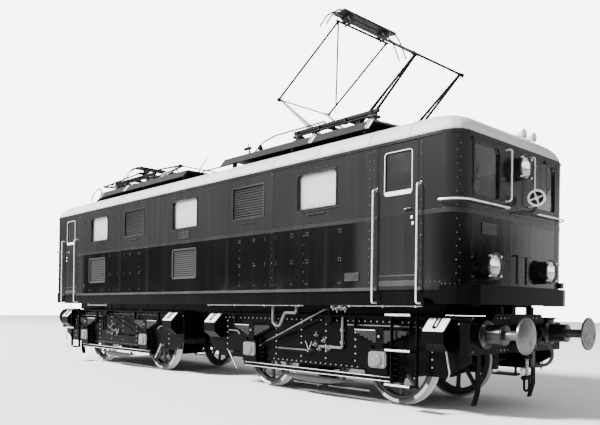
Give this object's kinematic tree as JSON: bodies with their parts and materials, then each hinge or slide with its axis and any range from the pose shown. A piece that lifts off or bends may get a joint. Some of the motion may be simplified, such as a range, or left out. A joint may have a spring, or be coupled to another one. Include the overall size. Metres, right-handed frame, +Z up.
{
  "type": "electric locomotive",
  "caption": "Boxcab electric locomotive on two four-wheel bogies, with louvred sides, cabs at both ends, buffers on the bogies and diamond pantographs.",
  "frame": {"origin": "on the centreline at mid-length, level with the bottom of the wheel flanges", "axes": "+X along the locomotive towards the end with the raised pantograph, +Y to its left, +Z up"},
  "size_m": [13.6, 3.142, 6.3179],
  "materials": {
    "dark_paint": "gloss",
    "roof_paint": "matt",
    "deck_paint": "matt",
    "grey_paint": "satin",
    "cab_paint": "satin",
    "black_iron": "matt",
    "wheel_steel": "satin",
    "bright_rail": "satin",
    "rod_steel": "satin",
    "arm_steel": "satin",
    "collector": "satin",
    "porcelain": "gloss",
    "glass": "clear",
    "white_cloth": "matt",
    "rubber_hose": "matt"
  },
  "bodies": {
    "body": {"underframe": "black_iron", "side_wall_near": "dark_paint", "side_wall_far": "dark_paint", "end_wall_front": "dark_paint", "end_wall_rear": "dark_paint", "roof_shell": "roof_paint", "glazing": "glass", "window_blinds": "white_cloth", "louvre_grilles": "grey_paint", "body_mouldings": "dark_paint", "handrails": "bright_rail", "lamps": "grey_paint", "roof_walkways": "deck_paint", "roof_insulators": "porcelain", "roof_fittings": "rod_steel", "pantograph_bases": "rod_steel", "cab_fittings": "cab_paint", "machine_block": "black_iron"},
    "front_bogie": {"front_bogie_frame": "black_iron", "front_axleboxes": "black_iron", "front_drawgear": "black_iron", "front_brakes": "black_iron", "front_motors": "black_iron", "front_brake_hose": "rubber_hose"},
    "rear_bogie": {"rear_bogie_frame": "black_iron", "rear_axleboxes": "black_iron", "rear_drawgear": "black_iron", "rear_brakes": "black_iron", "rear_motors": "black_iron", "rear_brake_hose": "rubber_hose"},
    "wheelset_1": {"wheelset_1": "wheel_steel"},
    "wheelset_2": {"wheelset_2": "wheel_steel"},
    "wheelset_3": {"wheelset_3": "wheel_steel"},
    "wheelset_4": {"wheelset_4": "wheel_steel"},
    "door_front_near": {"door_front_near": "dark_paint"},
    "door_rear_near": {"door_rear_near": "dark_paint"},
    "door_front_far": {"door_front_far": "dark_paint"},
    "door_rear_far": {"door_rear_far": "dark_paint"},
    "front_pantograph_lower_outer": {"front_pantograph_lower_outer": "arm_steel"},
    "front_pantograph_upper_outer": {"front_pantograph_upper_outer": "arm_steel"},
    "front_pantograph_lower_inner": {"front_pantograph_lower_inner": "arm_steel"},
    "front_pantograph_upper_inner": {"front_pantograph_upper_inner": "arm_steel"},
    "front_pantograph_head": {"front_pantograph_head": "collector"},
    "rear_pantograph_lower_outer": {"rear_pantograph_lower_outer": "arm_steel"},
    "rear_pantograph_upper_outer": {"rear_pantograph_upper_outer": "arm_steel"},
    "rear_pantograph_lower_inner": {"rear_pantograph_lower_inner": "arm_steel"},
    "rear_pantograph_upper_inner": {"rear_pantograph_upper_inner": "arm_steel"},
    "rear_pantograph_head": {"rear_pantograph_head": "collector"}
  },
  "joints": [
    {"name": "front_bogie_yaw", "type": "hinge", "parent": "body", "child": "front_bogie", "pos_m": [3.3, 0, 1.458], "axis": [0, 0, 1], "range_deg": [-3, 3]},
    {"name": "rear_bogie_yaw", "type": "hinge", "parent": "body", "child": "rear_bogie", "pos_m": [-3.3, 0, 1.458], "axis": [0, 0, 1], "range_deg": [-3, 3]},
    {"name": "wheelset_1_spin", "type": "hinge", "parent": "rear_bogie", "child": "wheelset_1", "pos_m": [-4.75, 0, 0.638], "axis": [0, 1, 0], "continuous": true},
    {"name": "wheelset_2_spin", "type": "hinge", "parent": "rear_bogie", "child": "wheelset_2", "pos_m": [-1.85, 0, 0.638], "axis": [0, 1, 0], "continuous": true},
    {"name": "wheelset_3_spin", "type": "hinge", "parent": "front_bogie", "child": "wheelset_3", "pos_m": [1.85, 0, 0.638], "axis": [0, 1, 0], "continuous": true},
    {"name": "wheelset_4_spin", "type": "hinge", "parent": "front_bogie", "child": "wheelset_4", "pos_m": [4.75, 0, 0.638], "axis": [0, 1, 0], "continuous": true},
    {"name": "door_front_near_hinge", "type": "hinge", "parent": "body", "child": "door_front_near", "pos_m": [4.8785, -1.43, 2.628], "axis": [0, 0, 1], "range_deg": [0, 85]},
    {"name": "door_rear_near_hinge", "type": "hinge", "parent": "body", "child": "door_rear_near", "pos_m": [-4.8785, -1.43, 2.628], "axis": [0, 0, -1], "range_deg": [0, 85]},
    {"name": "door_front_far_hinge", "type": "hinge", "parent": "body", "child": "door_front_far", "pos_m": [4.8785, 1.43, 2.628], "axis": [0, 0, -1], "range_deg": [0, 85]},
    {"name": "door_rear_far_hinge", "type": "hinge", "parent": "body", "child": "door_rear_far", "pos_m": [-4.8785, 1.43, 2.628], "axis": [0, 0, 1], "range_deg": [0, 85]},
    {"name": "front_pantograph_raise", "type": "hinge", "parent": "body", "child": "front_pantograph_lower_outer", "pos_m": [3.8, 0, 4.368], "axis": [0, -1, 0], "range_deg": [-33.4, 0]},
    {"name": "front_pantograph_upper_outer_fold", "type": "hinge", "parent": "front_pantograph_lower_outer", "child": "front_pantograph_upper_outer", "pos_m": [4.81083, 0, 5.20126], "axis": [0, -1, 0], "range_deg": [0, 64.06]},
    {"name": "front_pantograph_head_fold", "type": "hinge", "parent": "front_pantograph_upper_outer", "child": "front_pantograph_head", "pos_m": [3.35, 0, 6.17389], "axis": [0, -1, 0], "range_deg": [-30.66, 0]},
    {"name": "front_pantograph_lower_inner_fold", "type": "hinge", "parent": "body", "child": "front_pantograph_lower_inner", "pos_m": [2.8, 0, 4.368], "axis": [0, -1, 0], "range_deg": [0, 33.41]},
    {"name": "front_pantograph_upper_inner_fold", "type": "hinge", "parent": "front_pantograph_lower_inner", "child": "front_pantograph_upper_inner", "pos_m": [1.78917, 0, 5.20126], "axis": [0, -1, 0], "range_deg": [-64.06, 0]},
    {"name": "rear_pantograph_raise", "type": "hinge", "parent": "body", "child": "rear_pantograph_lower_outer", "pos_m": [-3.8, 0, 4.368], "axis": [0, 1, 0], "range_deg": [0, 33.4]},
    {"name": "rear_pantograph_upper_outer_fold", "type": "hinge", "parent": "rear_pantograph_lower_outer", "child": "rear_pantograph_upper_outer", "pos_m": [-5.10258, 0, 4.50721], "axis": [0, 1, 0], "range_deg": [-64.06, 0]},
    {"name": "rear_pantograph_head_fold", "type": "hinge", "parent": "rear_pantograph_upper_outer", "child": "rear_pantograph_head", "pos_m": [-3.35, 0, 4.59929], "axis": [0, 1, 0], "range_deg": [0, 30.66]},
    {"name": "rear_pantograph_lower_inner_fold", "type": "hinge", "parent": "body", "child": "rear_pantograph_lower_inner", "pos_m": [-2.8, 0, 4.368], "axis": [0, 1, 0], "range_deg": [-33.41, 0]},
    {"name": "rear_pantograph_upper_inner_fold", "type": "hinge", "parent": "rear_pantograph_lower_inner", "child": "rear_pantograph_upper_inner", "pos_m": [-1.49742, 0, 4.50721], "axis": [0, 1, 0], "range_deg": [0, 64.06]}
  ],
  "couplings": [
    {"joint": "front_pantograph_upper_outer_fold", "follows": "front_pantograph_raise", "ratio": -1.9176},
    {"joint": "front_pantograph_head_fold", "follows": "front_pantograph_raise", "ratio": 0.91762},
    {"joint": "front_pantograph_lower_inner_fold", "follows": "front_pantograph_raise", "ratio": -1},
    {"joint": "front_pantograph_upper_inner_fold", "follows": "front_pantograph_raise", "ratio": 1.9176},
    {"joint": "rear_pantograph_upper_outer_fold", "follows": "rear_pantograph_raise", "ratio": -1.9176},
    {"joint": "rear_pantograph_head_fold", "follows": "rear_pantograph_raise", "ratio": 0.91762},
    {"joint": "rear_pantograph_lower_inner_fold", "follows": "rear_pantograph_raise", "ratio": -1},
    {"joint": "rear_pantograph_upper_inner_fold", "follows": "rear_pantograph_raise", "ratio": 1.9176}
  ]
}
